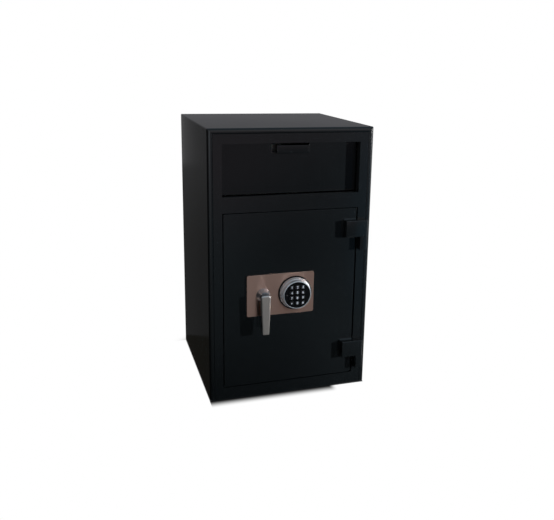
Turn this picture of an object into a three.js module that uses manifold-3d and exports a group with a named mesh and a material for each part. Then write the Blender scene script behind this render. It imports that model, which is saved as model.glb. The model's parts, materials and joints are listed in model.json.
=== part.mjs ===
// Drop safe with a deposit drawer above a vault door, in millimetres, +Z up.
// The origin is the centre of the footprint on the floor; the front looks along -Y, the hinges are at +X.
import * as THREE from "three";
import { mergeVertices } from "three/addons/utils/BufferGeometryUtils.js";
import Module from "manifold-3d";

const wasm = await Module();
wasm.setup();

// Body
const WIDTH = 425;
const DEPTH = 410;
const HEIGHT = 700;
const SHEET = 6; // thickness of the wrap, base and back
const ROLL = 13; // width of the rolled front edge of the wrap, seen from the front
const ROLL_DEPTH = 5; // how far back the roll reaches along the sides and the top
const FOLD = 2.5; // outer radius of the long top edges
const FRAME = 12; // thickness of the front frame plate
const SEAM = 0.3; // gap at a welded or screwed joint

// Front frame
const STILE = 35.5;
const TOP_RAIL = 37;
const MID_RAIL = 39.5;
const BOTTOM_RAIL = 34;
const DRAWER_OPENING = 129; // height of the drawer's opening
const OPENING_CORNER = 2;
const HINGE_CORNER = 8; // larger corner radius at the foot of the hinge stile

// Base fixing
const ANCHOR_BORE = 14;
const ANCHOR_INSET = 65;

// Vault door
const DOOR_PLATE = 10;
const DOOR_GAP = 2.2; // at the lock side, top and foot
const HINGE_GAP = 4;
const PAN_INSET = 9; // from the plate's edge to the pan
const PAN_DEPTH = 45;
const PAN_SHEET = 3;
const PAN_CORNER = 4;

// Door hinges
const PIN_INSET = 24.3; // from the safe's side to the pin axis
const PIN_OUT = 11; // from the front face to the pin axis
const PIN = 8;
const PIN_PLAY = 0.15;
const BLOCK_LENGTH = 58.6;
const BLOCK_DEPTH = 18;
const BLOCK_HEIGHT = 43.5;
const BLOCK_OFF = 0.6; // running gap between a block and the frame behind it
const BLOCK_EDGE = 1.2;
const BLOCK_CHAMFER = 1.2; // at the free front corner, which turns past the frame
const BLIND_END = 7; // metal left past the end of a pin bore
const UPPER_BLOCK_DROP = 29.5; // from the door's top to the top of the upper block
const LOWER_BLOCK_RISE = 51.4; // from the door's foot to the foot of the lower block
const KNUCKLE_WIDTH = 20;
const KNUCKLE_DEPTH = 17.5;
const KNUCKLE_HEIGHT = 34;
const KNUCKLE_NOSE = 5;
const THRUST_GAP = 0.4;
const WELD = 3.4; // leg of the fillet weld round each block

// Lock plate and lever
const LOCK_Z = 279.5; // height of the spindle and of the keypad's axis
const LOCK_PLATE_LEFT = 95.9; // from the safe's side to the plate's left edge
const LOCK_PLATE_WIDTH = 177;
const LOCK_PLATE_HEIGHT = 109;
const LOCK_PLATE_SHEET = 3;
const LOCK_PLATE_CORNER = 4.5;
const LOCK_PLATE_DROP = 1.5; // the plate's centre lies this far below the spindle
const SPINDLE_IN = 42.1; // from the plate's left edge to the spindle
const SPINDLE = 10; // across the flats
const SPINDLE_PLAY = 0.4;
const BUSH_WALL = 3;
const BUSH_FLANGE = 3;
const BUSH_RIM = 4;
const NECK_ROOT = 18; // radius at the lock plate
const NECK_RIM = 1.4;
const NECK_WAIST = 15.4;
const NECK_WAIST_OUT = 8;
const NECK_FRONT = 12.2;
const LEVER_FRONT = 30.4; // from the lock plate's face to the lever's face
const LEVER_THICK = 12.5;
const LEVER_SOCKET = 8;
const LEVER_HEAD_WIDTH = 25.8;
const LEVER_FOOT_WIDTH = 20.7;
const LEVER_RISE = 7.3; // above the spindle
const LEVER_DROP = 97.8; // below the spindle
const LEVER_EDGE = 2.6;
const LEVER_SHOULDER = 8;
const LEVER_TOE = 3.5;

// Keypad
const KEYPAD_IN = 83.7; // from the spindle to the keypad's axis
const PAD_RADIUS = 44.4;
const PAD_BASE = 3.8; // thickness of the black base ring
const PAD_EDGE = 0.8;
const PAD_PLATFORM = 14.5; // height of the platform behind the keys
const RING_ROOT = 42;
const RING_STEP = 39.4;
const RING_GROOVE = 1.2;
const RING_FRONT = 36;
const RING_WALL = 1.6;
const RING_TOP = 23.6; // height of the ring above the lock plate
const RING_STEP_HEIGHT = 13;
const RING_EDGE = 0.8;
const FACE_THICK = 3.5;
const FACE_SKIRT = 1.2;
const FACE_SINK = 0.8; // the face lies this far below the ring's edge
const KEY_PITCH_X = 14.65;
const KEY_PITCH_Z = 14;
const KEY_WIDTH = 10.4;
const KEY_HEIGHT = 9.4;
const KEY_CORNER = 2.6;
const KEY_EDGE = 0.6;
const KEY_PLAY = 0.35;
const KEY_PROUD = 1.5;
const KEY_FLANGE = 0.6; // the flange behind the face is this much wider than the key on each side
const KEY_FLANGE_THICK = 2;
const KEY_LABELS = [
  ["1", "2", "3"],
  ["4", "5", "6"],
  ["7", "8", "9"],
  ["star", "0", "hash"],
];
const LED_OFFSET = 26.8;
const LED_RISE = 1.1;
const LED_RADIUS = 1.5;
const LED_PROUD = 0.4;

// Boltwork
const BOLT = 20;
const BOLT_PLAY = 0.5;
const BOLT_THROW = 20;
const BOLT_SETBACK = 4.5; // bolt tips behind the jamb when withdrawn
const BOLT_NOSE = 2;
const BOLT_PITCH = 144;
const BOLT_SHANK = 10;
const BOLT_NUT = 16;
const BOLT_NUT_LENGTH = 7;
const NUT_WINDOW = 1.5; // room round a nut in the carriage
const CARRIAGE_PLATE = 6;
const CARRIAGE_STANDOFF = 11.5; // from the door plate to the carriage
const CARRIAGE_FLANGE = 20;
const CARRIAGE_WIDTH = 50;
const CARRIAGE_ENDS = 24; // beyond the outer bolts
const CARRIAGE_CLEAR = 5; // between the pan wall and the flange with the bolts thrown
const SLOT_PLAY = 0.8;
const CAM_PIN_OUT = 10; // sideways from the spindle at both ends of the throw, and below it
const CAM_PIN = 8;
const CAM_RADIUS = 22;
const CAM_PLATE = 6;
const CAM_PLAY = 0.4;
const CAM_PIN_END = 2; // pin length past the carriage
const TONGUE_HEIGHT = 38; // carriage tongue that the cam pin drives
const TONGUE_REACH = 14; // beyond the pin
const GUIDE_STUD = 10;
const GUIDE_HEAD = 17;
const GUIDE_HEAD_THICK = 4;
const GUIDE_INSET = 14; // stud axis from the carriage flange
const GUIDE_REACH = 55; // stud axis inwards from the outer bolts
const LOCK_CASE_WIDTH = 61;
const LOCK_CASE_HEIGHT = 85;
const LOCK_CASE_DEPTH = 32;
const LOCK_CASE_CORNER = 4;
const LOCK_BOLT_WIDTH = 12;
const LOCK_BOLT_THICK = 11;
const LOCK_BOLT_LENGTH = 29;
const LOCK_BOLT_REST = 8; // proud of the case when drawn back
const LOCK_BOLT_THROW = 9;
const LOCK_BOLT_WELL = 2; // room under the lock bolt in its case
const LOCK_PLAY = 0.5;
const ARM_HEIGHT = 21;
const ARM_CLEAR = 1; // between the drawn lock bolt and the arm
const ARM_END = 10; // beyond the outer notch
const DEAD_BAR = 8;
const DEAD_BAR_REACH = 9; // behind the hinge stile
const DEAD_BAR_STANDOFF = 4.5; // behind the frame plate
const DEAD_BAR_ENDS = 25;

// Strike behind the lock stile
const STRIKE = 6;
const STRIKE_DEPTH = 42;
const STRIKE_PLAY = 1.5;

// Deposit drawer
const RECESS = 21.5; // drawer front behind the frame's face
const DRAWER_PLATE = 6;
const DRAWER_GAP = 1.5;
const DRAWER_TRAVEL = 200;
const NOTCH_WIDTH = 96;
const NOTCH_DEPTH = 23.2;
const LIP_WIDTH = 83;
const LIP_SHIFT = 5; // the lip sits this far off the centre, towards the hinges
const LIP_HEIGHT = 20.5;
const LIP_BELOW = 3.4; // foot of the lip below the notch
const LIP_SHEET = 2.5;
const LIP_STAND = 3; // finger space behind the lip
const LIP_BEND = 2;
const BOX_SIDE = 54.5; // from the safe's side to the box's side
const BOX_LENGTH = 222;
const BOX_SHEET = 2;
const BOX_TOP_GAP = 8;
const BOX_FOOT_GAP = 4;
const BOX_FLANGE = 14;

// Drawer runners
const RUNNER_SHEET = 2;
const RUNNER_HEIGHT = 36;
const RUNNER_DEPTH = 17; // from the box side to the back of the runner's web
const RUNNER_MOUTH = 1.5; // from the box side to the runner's flanges
const RUNNER_START = 35; // behind the front face
const RUNNER_Z = 85; // centre above the sill
const RUNNER_PLAY = 0.6;
const RUNNER_LEG = 30;
const SLIDE_FLANGE = 10;
const STOP_BLOCK = 6;
const STOP_HEIGHT = 14;
const STOP_LAP = 4; // how far the two stops overlap sideways
const BUFFER_RADIUS = 6;
const BUFFER_LENGTH = 12;

// Trap floor of the drawer
const TRAP_ANGLE = 38; // degrees below level when the drawer is shut
const TRAP_SHEET = 2;
const TRAP_SIDE_GAP = 1.5;
const TRAP_END_GAP = 1.5;
const TRAP_HINGE_Z = 37; // above the sill
const TRAP_HINGE_BACK = 11.5; // behind the drawer plate
const TRAP_ROD = 6;
const TRAP_ROD_END = 1; // rod past the box side
const TRAP_EYE_WALL = 2.1;
const TRAP_PLAY = 0.4;
const TRAP_HEM = 9;
const TRAP_RIB_WIDTH = 12;
const TRAP_RIB_HEIGHT = 3;
const TRAP_RIB_PITCH = 90;
const TRAP_RIB_INSET = 12;

// Collar, shelf and comb between the drawer and the vault
const COLLAR_SHEET = 3;
const COLLAR_SET = 2; // the collar stands back from the opening's edge
const SHELF = 5;
const SHELF_DROP = 22; // below the sill
const THROAT_SIDE = 50; // from the safe's side to the throat
const THROAT_FRONT = 27; // behind the front face
const THROAT_LENGTH = 273;
const COMB_SHEET = 2;
const COMB_FLANGE = 20;
const COMB_LENGTH = 34;
const COMB_TOOTH = 14;
const COMB_TEETH = 15;
const COMB_ANGLE = 60; // degrees below level
const COMB_SIDE_GAP = 3;

// Smoothness, cutting overrun and the distance at which points are one
const ROUND_STEPS = 24;
const FINE_STEPS = 56;
const CORNER_STEPS = 3;
const KEY_STEPS = 2;
const OVER = 2;
const POINT_GAP = 1e-4;

// Places that several pieces share
const FRONT = -DEPTH / 2;
const BACK = DEPTH / 2;
const SIDE = WIDTH / 2;
const INSIDE = SIDE - SHEET - SEAM;
const JAMB = SIDE - STILE;
const DRAWER_HEAD_Z = HEIGHT - TOP_RAIL;
const SILL_Z = DRAWER_HEAD_Z - DRAWER_OPENING;
const DOOR_HEAD_Z = SILL_Z - MID_RAIL;
const FRAME_BACK = FRONT + FRAME;
const FLOOR_FRONT = FRAME_BACK + SEAM;
const REAR = BACK - SHEET - SEAM;
const DOOR_LEFT = DOOR_GAP - JAMB;
const DOOR_RIGHT = JAMB - HINGE_GAP;
const DOOR_FOOT = BOTTOM_RAIL + DOOR_GAP;
const DOOR_TOP = DOOR_HEAD_Z - DOOR_GAP;
const DOOR_BACK = FRONT + DOOR_PLATE;
const PAN_FRONT = DOOR_BACK + SEAM;
const PAN_BACK = PAN_FRONT + PAN_DEPTH;
const PAN_LEFT = DOOR_LEFT + PAN_INSET;
const PAN_RIGHT = DOOR_RIGHT - PAN_INSET;
const PIN_X = SIDE - PIN_INSET;
const PIN_Y = FRONT - PIN_OUT;
const UPPER_BLOCK_Z = DOOR_TOP - UPPER_BLOCK_DROP - BLOCK_HEIGHT;
const LOWER_BLOCK_Z = DOOR_FOOT + LOWER_BLOCK_RISE;
const LOCK_PLATE_X = LOCK_PLATE_LEFT - SIDE;
const PLATE_FACE = FRONT - SEAM - LOCK_PLATE_SHEET;
const SPINDLE_X = LOCK_PLATE_X + SPINDLE_IN;
const KEYPAD_X = SPINDLE_X + KEYPAD_IN;
const SPINDLE_BORE = SPINDLE / 2 + SPINDLE_PLAY;
const BUSH_BORE = SPINDLE * Math.SQRT1_2 + SPINDLE_PLAY;
const BUSH_RADIUS = BUSH_BORE + BUSH_WALL;
const LEVER_BACK = PLATE_FACE - LEVER_FRONT + LEVER_THICK;
const CARRIAGE_FRONT = DOOR_BACK + CARRIAGE_STANDOFF;
const CARRIAGE_BACK = CARRIAGE_FRONT + CARRIAGE_PLATE;
const BOLT_Y = (CARRIAGE_FRONT + CARRIAGE_BACK) / 2;
const BOLT_TIP = BOLT_SETBACK - JAMB;
const FLANGE_X = PAN_LEFT + PAN_SHEET + BOLT_THROW + CARRIAGE_CLEAR;
const CARRIAGE_X = FLANGE_X + CARRIAGE_PLATE;
const BOLT_MID_Z = (DOOR_FOOT + DOOR_TOP) / 2;
const GUIDE_X = CARRIAGE_X + GUIDE_INSET;
const CAM_FRONT = PAN_FRONT + BUSH_FLANGE + CAM_PLAY;
const CAM_BACK = CAM_FRONT + CAM_PLATE;
const CAM_PIN_X = SPINDLE_X + CAM_PIN_OUT;
const CAM_PIN_Z = LOCK_Z - CAM_PIN_OUT;
const CAM_LOW_Z = LOCK_Z - CAM_PIN_OUT * Math.SQRT2; // lowest point of the pin's swing
const LOCK_CASE_TOP = LOCK_Z + LOCK_CASE_HEIGHT / 2;
const ARM_Z = LOCK_CASE_TOP + LOCK_BOLT_REST + ARM_CLEAR;
const FACE_OUT = RING_TOP - FACE_SINK;
const FACE_IN = FACE_OUT - FACE_THICK;
const FACE_RADIUS = RING_FRONT - RING_WALL - SEAM;
const DRAWER_FACE = FRONT + RECESS;
const DRAWER_REAR = DRAWER_FACE + DRAWER_PLATE;
const DRAWER_HALF = JAMB - DRAWER_GAP;
const DRAWER_TOP = DRAWER_HEAD_Z - DRAWER_GAP;
const NOTCH_Z = DRAWER_TOP - NOTCH_DEPTH;
const BOX_HALF = SIDE - BOX_SIDE;
const BOX_FRONT = DRAWER_REAR + SEAM;
const BOX_BACK = BOX_FRONT + BOX_LENGTH;
const RUNNER_MID = SILL_Z + RUNNER_Z;
const RUNNER_HALF = RUNNER_HEIGHT / 2;
const RUNNER_FRONT = FRONT + RUNNER_START;
const RUNNER_WEB = BOX_HALF + RUNNER_DEPTH;
const SLIDE_X = BOX_HALF + SEAM;
const SLIDE_BACK = REAR - BUFFER_LENGTH - SEAM;
const TRAP_Y = DRAWER_REAR + TRAP_HINGE_BACK;
const TRAP_Z = SILL_Z + TRAP_HINGE_Z;
const TRAP_EYE = TRAP_ROD / 2 + TRAP_PLAY + TRAP_EYE_WALL;
const SHELF_TOP = SILL_Z - SHELF_DROP;
const THROAT_HALF = SIDE - THROAT_SIDE;
const THROAT_BACK = FRONT + THROAT_FRONT + THROAT_LENGTH;

// Materials
const finish = (color, roughness, metalness) => new THREE.MeshStandardMaterial({ color, roughness, metalness });
const blackPaint = finish(0x17191c, 0.42, 0.1);
const innerPaint = finish(0x2a2c2f, 0.6, 0.1);
const chrome = finish(0xc9ccd0, 0.12, 1);
const satinMetal = finish(0xb9b4ad, 0.3, 0.9);
const brushedPlate = finish(0xa38c7e, 0.35, 0.9);
const blackPlastic = finish(0x101114, 0.4, 0);
const keyRubber = finish(0x15161a, 0.6, 0);
const lens = finish(0x7a1c16, 0.2, 0);
const steel = finish(0x9a9da1, 0.35, 1);
const zincPlate = finish(0xaeb2b4, 0.4, 0.9);
const brass = finish(0xb08d4a, 0.35, 1);
const rubber = finish(0x1b1b1b, 0.9, 0);

// A geometry as a solid that can be joined and cut.
function solid(geometry) {
  const bare = geometry.clone();
  bare.deleteAttribute("normal");
  bare.deleteAttribute("uv");
  const merged = mergeVertices(bare, POINT_GAP);
  const corners = merged.index.array;
  const kept = [];
  for (let i = 0; i < corners.length; i += 3) {
    const [a, b, c] = corners.slice(i, i + 3);
    if (a !== b && b !== c && c !== a) kept.push(a, b, c);
  }
  return new wasm.Manifold(
    new wasm.Mesh({
      numProp: 3,
      vertProperties: new Float32Array(merged.attributes.position.array),
      triVerts: new Uint32Array(kept),
    }),
  );
}

// A solid as a named mesh.
function piece(name, made, material) {
  const { vertProperties, triVerts } = made.getMesh();
  const geometry = new THREE.BufferGeometry();
  geometry.setAttribute("position", new THREE.BufferAttribute(new Float32Array(vertProperties), 3));
  geometry.setIndex(new THREE.BufferAttribute(new Uint32Array(triVerts), 1));
  const flat = geometry.toNonIndexed();
  flat.computeVertexNormals();
  const mesh = new THREE.Mesh(flat, material);
  mesh.name = name;
  return mesh;
}

const joined = (parts) => parts.reduce((sum, next) => sum.add(next));
const cut = (body, tools) => tools.reduce((left, tool) => left.subtract(tool), body);

// A box between two values on each axis.
function block(x0, x1, y0, y1, z0, z1) {
  const box = new THREE.BoxGeometry(x1 - x0, y1 - y0, z1 - z0);
  box.translate((x0 + x1) / 2, (y0 + y1) / 2, (z0 + z1) / 2);
  return solid(box);
}

// A box on the right (side 1) or mirrored to the left (side -1).
function sideBlock(side, x0, x1, y0, y1, z0, z1) {
  return side > 0 ? block(x0, x1, y0, y1, z0, z1) : block(-x1, -x0, y0, y1, z0, z1);
}

// A flat outline drawn in X and Y, pulled up from z0 to z1.
function pulledUp(outline, z0, z1) {
  const made = new THREE.ExtrudeGeometry(outline, { depth: z1 - z0, bevelEnabled: false, curveSegments: CORNER_STEPS });
  made.translate(0, 0, z0);
  return solid(made);
}

// A flat outline drawn in X and Z, pulled back from y0 to y1, with both faces chamfered by edge.
function pulledBack(outline, y0, y1, edge = 0, steps = CORNER_STEPS) {
  const made = new THREE.ExtrudeGeometry(outline, {
    depth: y1 - y0 - edge - edge,
    bevelEnabled: edge > 0,
    bevelThickness: edge,
    bevelSize: edge,
    bevelOffset: -edge,
    bevelSegments: 1,
    curveSegments: steps,
  });
  made.rotateX(Math.PI / 2);
  made.translate(0, y1 - edge, 0);
  return solid(made);
}

// A flat outline drawn in Y and Z, pulled across from x0 to x1.
function pulledAcross(outline, x0, x1) {
  const made = new THREE.ExtrudeGeometry(outline, { depth: x1 - x0, bevelEnabled: false, curveSegments: CORNER_STEPS });
  made.rotateX(Math.PI / 2);
  made.rotateZ(Math.PI / 2);
  made.translate(x0, 0, 0);
  return solid(made);
}

// A closed polygon from a list of points.
const polygon = (points) => new THREE.Shape(points.map(([u, v]) => new THREE.Vector2(u, v)));

// A rectangle with its own radius at each corner, listed from the lower left, anticlockwise.
function roundedRect(u0, u1, v0, v1, radii) {
  const [lowLeft, lowRight, topRight, topLeft] = radii;
  const quarter = Math.PI / 2;
  const shape = new THREE.Shape();
  shape.moveTo(u0 + lowLeft, v0);
  shape.lineTo(u1 - lowRight, v0);
  if (lowRight > 0) shape.absarc(u1 - lowRight, v0 + lowRight, lowRight, -quarter, 0);
  shape.lineTo(u1, v1 - topRight);
  if (topRight > 0) shape.absarc(u1 - topRight, v1 - topRight, topRight, 0, quarter);
  shape.lineTo(u0 + topLeft, v1);
  if (topLeft > 0) shape.absarc(u0 + topLeft, v1 - topLeft, topLeft, quarter, Math.PI);
  shape.lineTo(u0, v0 + lowLeft);
  if (lowLeft > 0) shape.absarc(u0 + lowLeft, v0 + lowLeft, lowLeft, Math.PI, Math.PI + quarter);
  return shape;
}

const evenRect = (u0, u1, v0, v1, radius) => roundedRect(u0, u1, v0, v1, [radius, radius, radius, radius]);

// A polygon whose corners, listed as [u, v, size], are softened by a curve of that size.
function softPolygon(corners) {
  const shape = new THREE.Shape();
  const count = corners.length;
  corners.forEach(([u, v, size], i) => {
    const here = new THREE.Vector2(u, v);
    const before = new THREE.Vector2(...corners[(i + count - 1) % count]);
    const after = new THREE.Vector2(...corners[(i + 1) % count]);
    const start = before.sub(here).setLength(size).add(here);
    const end = after.sub(here).setLength(size).add(here);
    if (i === 0) shape.moveTo(start.x, start.y);
    else shape.lineTo(start.x, start.y);
    shape.quadraticCurveTo(u, v, end.x, end.y);
  });
  return shape;
}

// A turned piece about an axis along Y at (x, z). The profile lists [radius, distance in front of y]
// anticlockwise, from the root outwards.
function turned(profile, x, y, z, steps = ROUND_STEPS) {
  const points = profile.map(([radius, out]) => new THREE.Vector2(radius, -out)).reverse();
  const made = new THREE.LatheGeometry(points, steps);
  made.translate(x, y, z);
  return solid(made);
}

// A turned piece about an axis along X, its profile listing [radius, distance past x].
function turnedAcross(profile, x, y, z) {
  const points = profile.map(([radius, along]) => new THREE.Vector2(radius, along));
  const made = new THREE.LatheGeometry(points, ROUND_STEPS);
  made.rotateZ(-Math.PI / 2);
  made.translate(x, y, z);
  return solid(made);
}

// A round bar along an axis, between two places on it; a and b are its places on the other two axes.
function bar(axis, radius, from, to, a, b) {
  const made = new THREE.CylinderGeometry(radius, radius, to - from, ROUND_STEPS);
  const middle = (from + to) / 2;
  if (axis === "x") {
    made.rotateZ(-Math.PI / 2);
    made.translate(middle, a, b);
  } else if (axis === "y") {
    made.translate(a, middle, b);
  } else {
    made.rotateX(Math.PI / 2);
    made.translate(a, b, middle);
  }
  return solid(made);
}

// A block that narrows from the rectangle back at y1 to the rectangle front at y0, each [x0, x1, z0, z1].
function tapered(back, front, y0, y1) {
  const ring = ([x0, x1, z0, z1], y) => [x0, y, z0, x1, y, z0, x1, y, z1, x0, y, z1];
  const quads = [
    [4, 5, 6, 7],
    [1, 0, 3, 2],
    [0, 4, 7, 3],
    [5, 1, 2, 6],
    [0, 1, 5, 4],
    [7, 6, 2, 3],
  ];
  const geometry = new THREE.BufferGeometry();
  const points = new Float32Array([...ring(back, y1), ...ring(front, y0)]);
  geometry.setAttribute("position", new THREE.BufferAttribute(points, 3));
  geometry.setIndex(quads.flatMap(([a, b, c, d]) => [a, b, c, a, c, d]));
  return solid(geometry);
}

// The wrap's envelope drawn in by a wall: rolled along the front, run past the back and foot by overrun.
// The roll is a quarter of an ellipse: a round one, made on a longer body that is then pressed flat.
function envelope(wall, overrun) {
  const half = SIDE - wall;
  const front = FRONT + wall;
  const back = BACK + overrun;
  const top = HEIGHT - wall;
  const roll = ROLL - wall;
  const fold = Math.max(FOLD - wall, 0);
  const squash = ROLL_DEPTH / ROLL;
  const length = (back - front) / squash;
  const plan = pulledUp(roundedRect(-half, half, 0, length, [roll, roll, 0, 0]), -overrun, top);
  const flank = pulledAcross(roundedRect(0, length, -overrun, top, [0, 0, 0, roll]), -half, half);
  const rolled = plan.intersect(flank).scale([1, squash, 1]).translate([0, front, 0]);
  const face = pulledBack(roundedRect(-half, half, -overrun, top, [0, 0, fold, fold]), front, back);
  return rolled.intersect(face);
}

function outerShell() {
  const window = block(ROLL - SIDE, SIDE - ROLL, FRONT - OVER, FRONT + SHEET + OVER, -OVER, HEIGHT - ROLL);
  return cut(envelope(0, 0), [envelope(SHEET, OVER), window]);
}

function basePlate() {
  const x = SIDE - ANCHOR_INSET;
  const y = DEPTH / 2 - ANCHOR_INSET;
  const plate = block(-INSIDE, INSIDE, FLOOR_FRONT, REAR, 0, SHEET);
  const bores = [-1, 1].flatMap((u) => [-1, 1].map((v) => bar("z", ANCHOR_BORE / 2, -OVER, SHEET + OVER, u * x, v * y)));
  return cut(plate, bores);
}

const backPanel = () => block(-INSIDE, INSIDE, BACK - SHEET, BACK, 0, HEIGHT - SHEET - SEAM);

function frontFrame() {
  const half = SIDE - ROLL - SEAM;
  const outline = polygon([
    [-half, 0],
    [half, 0],
    [half, HEIGHT - ROLL - SEAM],
    [-half, HEIGHT - ROLL - SEAM],
  ]);
  const doorCorners = [OPENING_CORNER, HINGE_CORNER, OPENING_CORNER, OPENING_CORNER];
  outline.holes.push(evenRect(-JAMB, JAMB, SILL_Z, DRAWER_HEAD_Z, OPENING_CORNER));
  outline.holes.push(roundedRect(-JAMB, JAMB, BOTTOM_RAIL, DOOR_HEAD_Z, doorCorners));
  return pulledBack(outline, FRONT, FRAME_BACK);
}

// A channel that lines the drawer's opening at its sides and top.
function drawerCollar() {
  const inner = JAMB + COLLAR_SET;
  const outer = inner + COLLAR_SHEET;
  const ceiling = DRAWER_HEAD_Z + COLLAR_SET;
  const outline = polygon([
    [-outer, SILL_Z],
    [-inner, SILL_Z],
    [-inner, ceiling],
    [inner, ceiling],
    [inner, SILL_Z],
    [outer, SILL_Z],
    [outer, ceiling + COLLAR_SHEET],
    [-outer, ceiling + COLLAR_SHEET],
  ]);
  return pulledBack(outline, FRAME_BACK + SEAM, DRAWER_REAR);
}

function depositShelf() {
  const plate = block(-INSIDE, INSIDE, FLOOR_FRONT, REAR, SHELF_TOP - SHELF, SHELF_TOP);
  const front = FRONT + THROAT_FRONT;
  return cut(plate, [block(-THROAT_HALF, THROAT_HALF, front, THROAT_BACK, SHELF_TOP - SHELF - OVER, SHELF_TOP + OVER)]);
}

// A sawtooth flap under the shelf, behind the throat, that leans down and forward.
function antiFishComb() {
  const half = THROAT_HALF - COMB_SIDE_GAP;
  const top = SHELF_TOP - SHELF - SEAM;
  const pitch = (half + half) / COMB_TEETH;
  const edge = [
    [half, 0],
    [-half, 0],
  ];
  for (let tooth = 0; tooth < COMB_TEETH; tooth += 1) {
    const left = tooth * pitch - half;
    edge.push([left, -COMB_LENGTH], [left + pitch / 2, -COMB_LENGTH - COMB_TOOTH]);
  }
  edge.push([half, -COMB_LENGTH]);
  const sheet = pulledBack(polygon(edge), -COMB_SHEET, 0);
  const flap = sheet.rotate([COMB_ANGLE - 90, 0, 0]).translate([0, THROAT_BACK + COMB_SHEET, top]);
  const flange = block(-half, half, THROAT_BACK, THROAT_BACK + COMB_FLANGE, top - COMB_SHEET, top);
  const ceiling = block(-half - OVER, half + OVER, THROAT_BACK - COMB_LENGTH, THROAT_BACK + COMB_FLANGE, top, top + COMB_LENGTH);
  return cut(joined([flange, flap]), [ceiling]);
}

function strikeBar() {
  const strike = block(-JAMB - STRIKE, -JAMB, FRAME_BACK + SEAM, FRAME_BACK + SEAM + STRIKE_DEPTH, BOTTOM_RAIL, DOOR_HEAD_Z);
  const half = BOLT / 2 + STRIKE_PLAY;
  const window = (z) => block(-JAMB - STRIKE - OVER, OVER - JAMB, BOLT_Y - half, BOLT_Y + half, z - half, z + half);
  return cut(strike, boltHeights().map(window));
}

const boltHeights = () => [-1, 0, 1].map((step) => BOLT_MID_Z + step * BOLT_PITCH);

// A runner folded from sheet: a channel for the slide, hung from a flange that turns down the safe's side.
function runner(side) {
  const top = RUNNER_MID + RUNNER_HALF;
  const foot = RUNNER_MID - RUNNER_HALF;
  const mouth = BOX_HALF + RUNNER_MOUTH;
  const fold = RUNNER_WEB - RUNNER_SHEET;
  const outline = [
    [mouth, foot],
    [RUNNER_WEB, foot],
    [RUNNER_WEB, top - RUNNER_SHEET],
    [INSIDE - RUNNER_SHEET, top - RUNNER_SHEET],
    [INSIDE - RUNNER_SHEET, top - RUNNER_LEG],
    [INSIDE, top - RUNNER_LEG],
    [INSIDE, top],
    [mouth, top],
    [mouth, top - RUNNER_SHEET],
    [fold, top - RUNNER_SHEET],
    [fold, foot + RUNNER_SHEET],
    [mouth, foot + RUNNER_SHEET],
  ];
  const channel = pulledBack(polygon(outline.map(([x, z]) => [side * x, z])), RUNNER_FRONT, SLIDE_BACK);
  const low = RUNNER_MID - STOP_HEIGHT / 2;
  const reach = RUNNER_WEB - RUNNER_SHEET - RUNNER_PLAY - STOP_LAP;
  const stop = sideBlock(side, reach, RUNNER_WEB, RUNNER_FRONT, RUNNER_FRONT + RUNNER_SHEET, low, low + STOP_HEIGHT);
  return joined([channel, stop]);
}

// The moving rail on the drawer's side, with a block that meets the runner's stop at full travel.
function slide(side) {
  const half = RUNNER_HALF - RUNNER_SHEET - RUNNER_PLAY;
  const outline = [
    [SLIDE_X, -half],
    [SLIDE_X + SLIDE_FLANGE, -half],
    [SLIDE_X + SLIDE_FLANGE, RUNNER_SHEET - half],
    [SLIDE_X + RUNNER_SHEET, RUNNER_SHEET - half],
    [SLIDE_X + RUNNER_SHEET, half - RUNNER_SHEET],
    [SLIDE_X + SLIDE_FLANGE, half - RUNNER_SHEET],
    [SLIDE_X + SLIDE_FLANGE, half],
    [SLIDE_X, half],
  ];
  const rail = pulledBack(polygon(outline.map(([x, z]) => [side * x, RUNNER_MID + z])), BOX_FRONT, SLIDE_BACK);
  const low = RUNNER_MID - STOP_HEIGHT / 2;
  const start = RUNNER_FRONT + RUNNER_SHEET + DRAWER_TRAVEL + RUNNER_PLAY;
  const reach = RUNNER_WEB - RUNNER_SHEET - RUNNER_PLAY;
  return joined([rail, sideBlock(side, SLIDE_X, reach, start, start + STOP_BLOCK, low, low + STOP_HEIGHT)]);
}

const drawerBuffer = (side) =>
  bar("y", BUFFER_RADIUS, REAR - BUFFER_LENGTH, REAR, side * (SLIDE_X + RUNNER_SHEET), RUNNER_MID);

// A fixed hinge bar on the frame, bored from above for the pin; its top is just below a block's foot.
function hingeKnuckle(blockFoot) {
  const top = blockFoot - THRUST_GAP;
  const back = FRONT - SEAM;
  const left = PIN_X - KNUCKLE_WIDTH / 2;
  const outline = roundedRect(left, left + KNUCKLE_WIDTH, back - KNUCKLE_DEPTH, back, [KNUCKLE_NOSE, BLOCK_EDGE, 0, 0]);
  const bore = bar("z", PIN / 2 + PIN_PLAY, top - KNUCKLE_HEIGHT + BLIND_END, top + OVER, PIN_X, PIN_Y);
  return cut(pulledUp(outline, top - KNUCKLE_HEIGHT, top), [bore]);
}

function hingePin(blockFoot) {
  const foot = blockFoot - THRUST_GAP - KNUCKLE_HEIGHT + BLIND_END + SEAM;
  return bar("z", PIN / 2, foot, blockFoot + BLOCK_HEIGHT - BLIND_END - SEAM, PIN_X, PIN_Y);
}

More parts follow.
